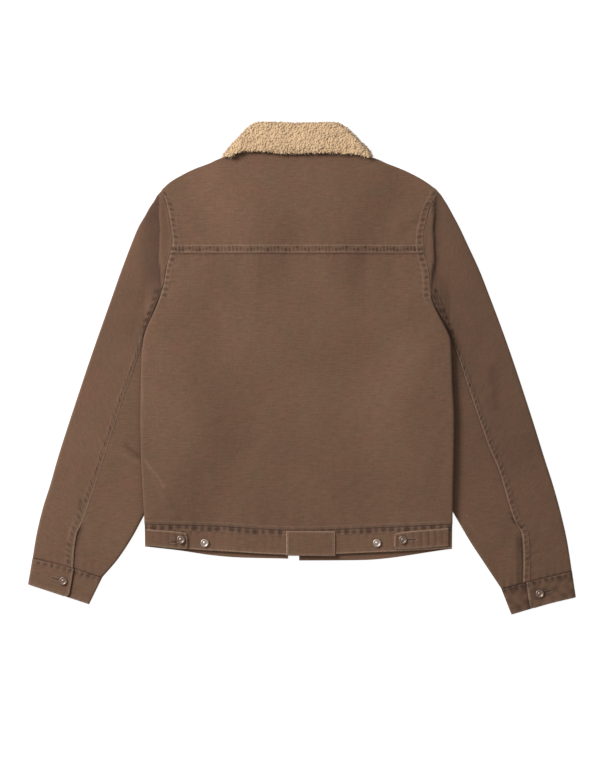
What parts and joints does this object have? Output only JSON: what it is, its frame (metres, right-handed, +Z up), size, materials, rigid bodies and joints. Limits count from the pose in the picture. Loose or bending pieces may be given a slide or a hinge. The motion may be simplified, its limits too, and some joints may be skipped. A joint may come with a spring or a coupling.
{
  "type": "canvas jacket with a fleece collar, laid flat",
  "caption": "Waist-length canvas work jacket with a folded fleece collar, a yoke, lapped cuffs and a hem band with side tabs, lying face down with its sleeves at its sides.",
  "frame": {"origin": "middle of the footprint, on the surface the jacket lies on", "axes": "+X from the wearer's left sleeve to the right one, +Y from the hem to the collar, +Z up, out of the jacket's back"},
  "size_m": [0.9328, 0.8383, 0.0324],
  "materials": {
    "canvas": "washed brown cotton canvas, matt, paler along its seams and edges",
    "fleece": "beige curly pile",
    "metal": "antique pale metal, satin"
  },
  "bodies": {
    "root": {"back_panel": "canvas", "back_yoke": "canvas", "button_cuff_left": "metal", "button_cuff_right": "metal", "button_hem_left": "metal", "button_hem_right": "metal", "button_tab_left": "metal", "button_tab_right": "metal", "collar_canvas": "canvas", "collar_fleece": "fleece", "cuff_left": "canvas", "cuff_right": "canvas", "front_left": "canvas", "front_right": "canvas", "hem_band_back": "canvas", "hem_band_front_left": "canvas", "hem_band_front_right": "canvas", "hem_patch": "canvas", "placket_left": "canvas", "placket_right": "canvas", "sleeve_under_left": "canvas", "sleeve_under_right": "canvas", "sleeve_upper_left": "canvas", "sleeve_upper_right": "canvas", "tab_left": "canvas", "tab_right": "canvas"}
  },
  "joints": []
}
